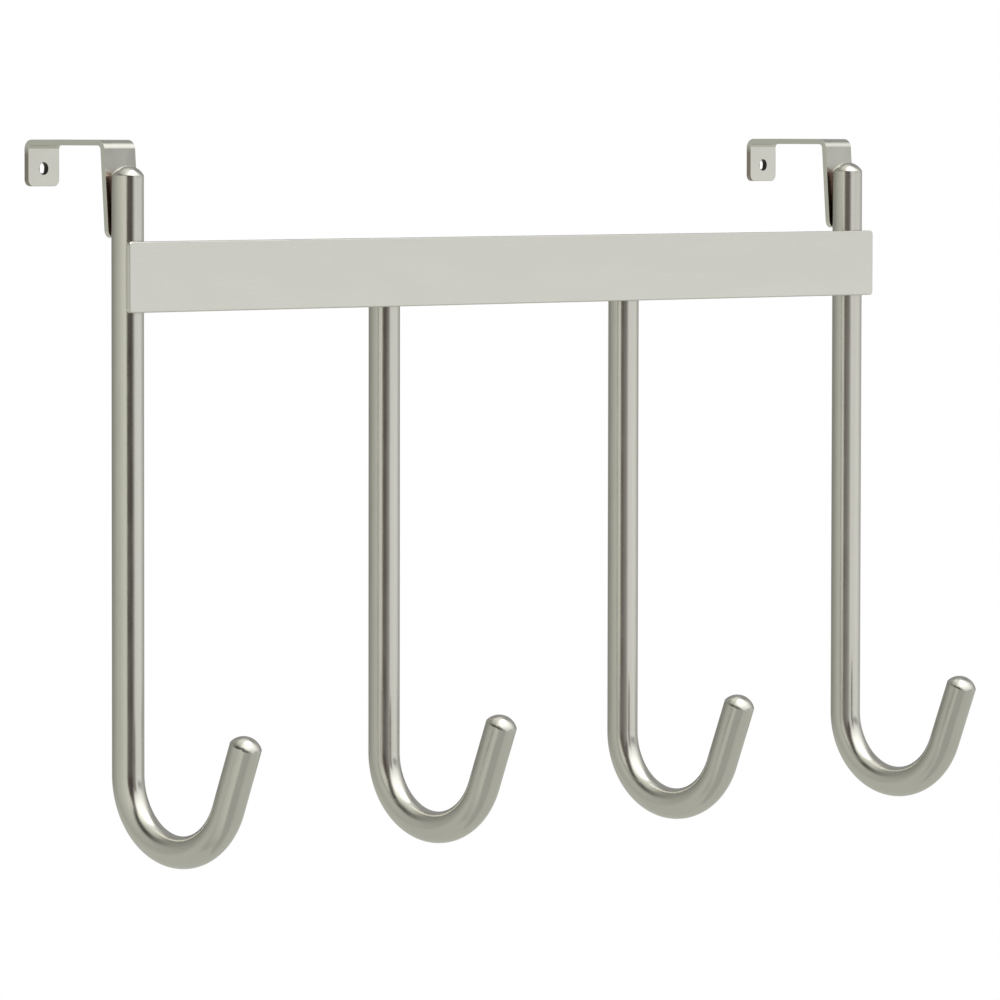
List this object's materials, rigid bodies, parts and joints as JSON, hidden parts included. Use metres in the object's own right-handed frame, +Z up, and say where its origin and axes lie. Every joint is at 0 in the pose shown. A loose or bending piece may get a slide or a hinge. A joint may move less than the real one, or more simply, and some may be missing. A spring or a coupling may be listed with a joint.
{
  "type": "over door hook",
  "caption": "Rack that hangs on the top of a door: strip brackets, a flat cross bar and tall J-shaped hooks of round bar, in satin nickel.",
  "frame": {"origin": "midway between the two screw holes, on the faces of the rear tabs that lie on the door", "axes": "+X along the cross bar, to the right as seen from the room; +Y through the door, away from the room, along the screw holes; +Z up. The hooks point to -Y."},
  "size_m": [0.4048, 0.1133, 0.2547],
  "materials": {
    "rod_nickel": "satin nickel plate over fine brushing along the rod",
    "bar_nickel": "satin nickel plate over fine brushing along the bar",
    "strip_nickel": "satin nickel plate over fine brushing along the strip"
  },
  "bodies": {
    "root": {"hook_rod_1": "rod_nickel", "hook_rod_2": "rod_nickel", "hook_rod_3": "rod_nickel", "hook_rod_4": "rod_nickel", "cross_bar": "bar_nickel", "left_bracket": "strip_nickel", "right_bracket": "strip_nickel"}
  },
  "joints": []
}
